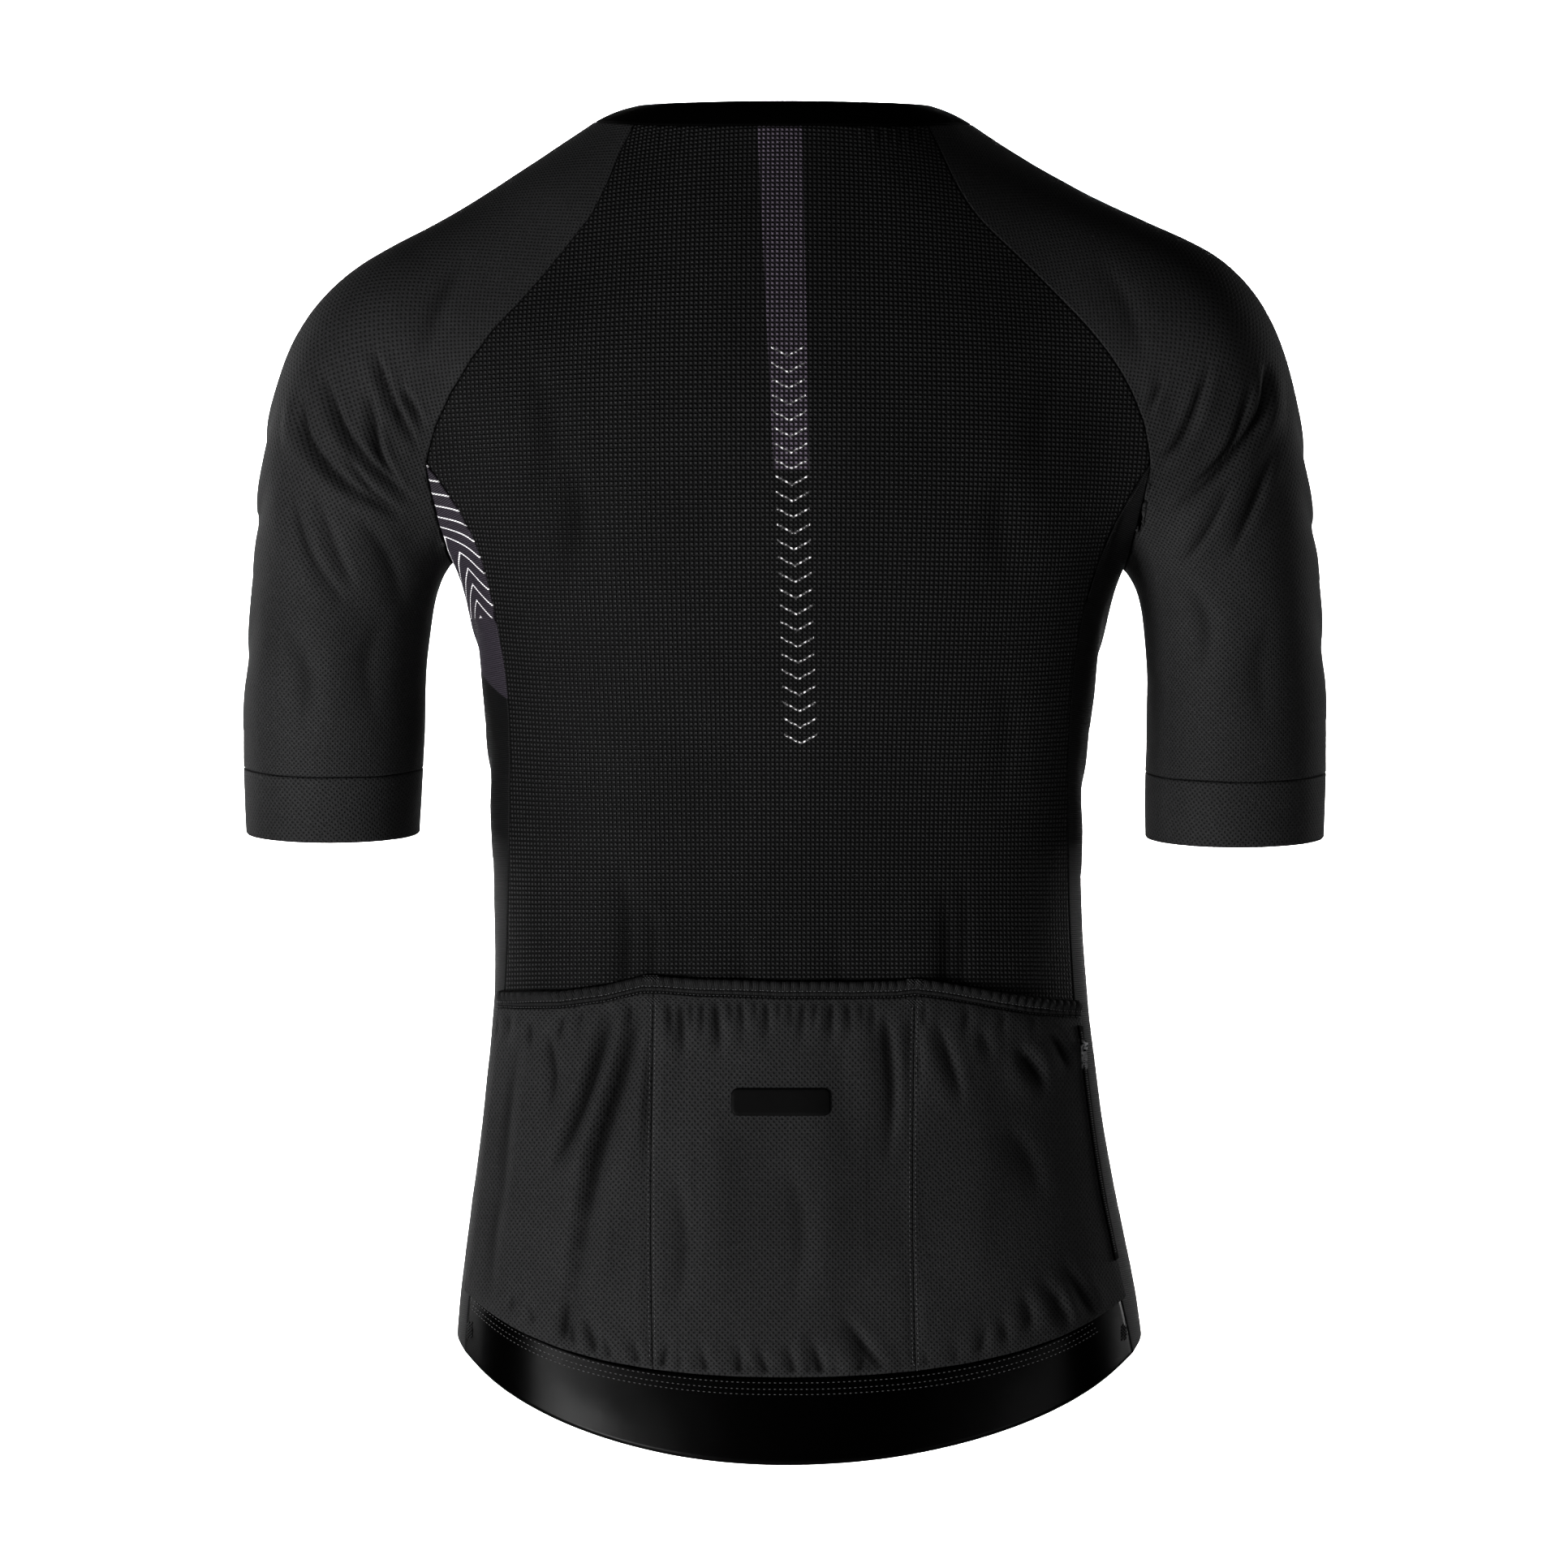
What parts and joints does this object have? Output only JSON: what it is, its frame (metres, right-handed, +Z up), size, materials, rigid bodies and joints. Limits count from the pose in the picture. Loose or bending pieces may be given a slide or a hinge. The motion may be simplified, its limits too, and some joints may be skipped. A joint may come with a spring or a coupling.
{
  "type": "cycling jersey",
  "caption": "Short-sleeved raglan cycling jersey with full front zip, back pockets, zipped side pocket and gripper hem, filled out as worn.",
  "frame": {"origin": "middle of the neck, level with the collar's seam at the back, where the wearer's neck and shoulders carry the garment", "axes": "+Z up, from the hem to the neck; +X to the wearer's left; the front faces -Y and the back +Y"},
  "size_m": [0.5903, 0.2337, 0.7305],
  "materials": {
    "body_cloth": "black waffle knit",
    "side_cloth": "black fine rib knit",
    "sleeve_mesh": "black fine mesh knit",
    "pocket_cloth": "black mesh knit",
    "elastic": "black satin elastic",
    "collar_cloth": "black soft knit",
    "zip_tape": "black woven zip tape",
    "zip_metal": "dark satin",
    "patch": "matt rubbery"
  },
  "bodies": {
    "jersey": {"back_panel": "body_cloth", "hem_band": "elastic", "front_left": "body_cloth", "side_left": "side_cloth", "sleeve_left": "sleeve_mesh", "cuff_left": "sleeve_mesh", "front_right": "body_cloth", "side_right": "side_cloth", "sleeve_right": "sleeve_mesh", "cuff_right": "sleeve_mesh", "collar": "collar_cloth", "pocket_left": "pocket_cloth", "pocket_middle": "pocket_cloth", "pocket_right": "pocket_cloth", "pocket_binding": "pocket_cloth", "label_patch": "patch", "front_zip": "zip_tape", "pocket_zip": "zip_tape", "front_zip_slider": "zip_metal", "pocket_zip_slider": "zip_metal"},
    "front_pull": {"front_zip_pull": "zip_metal"},
    "pocket_pull": {"pocket_zip_pull": "zip_metal"}
  },
  "joints": [
    {"name": "front_pull_swing", "type": "hinge", "parent": "jersey", "child": "front_pull", "pos_m": [0, -0.07383, -0.06002], "axis": [-1, 0, 0], "range_deg": [0, 150]},
    {"name": "pocket_pull_swing", "type": "hinge", "parent": "jersey", "child": "pocket_pull", "pos_m": [-0.16131, 0.04308, -0.49755], "axis": [0.6349, 0.7723, -0.0216], "range_deg": [0, 150]}
  ]
}
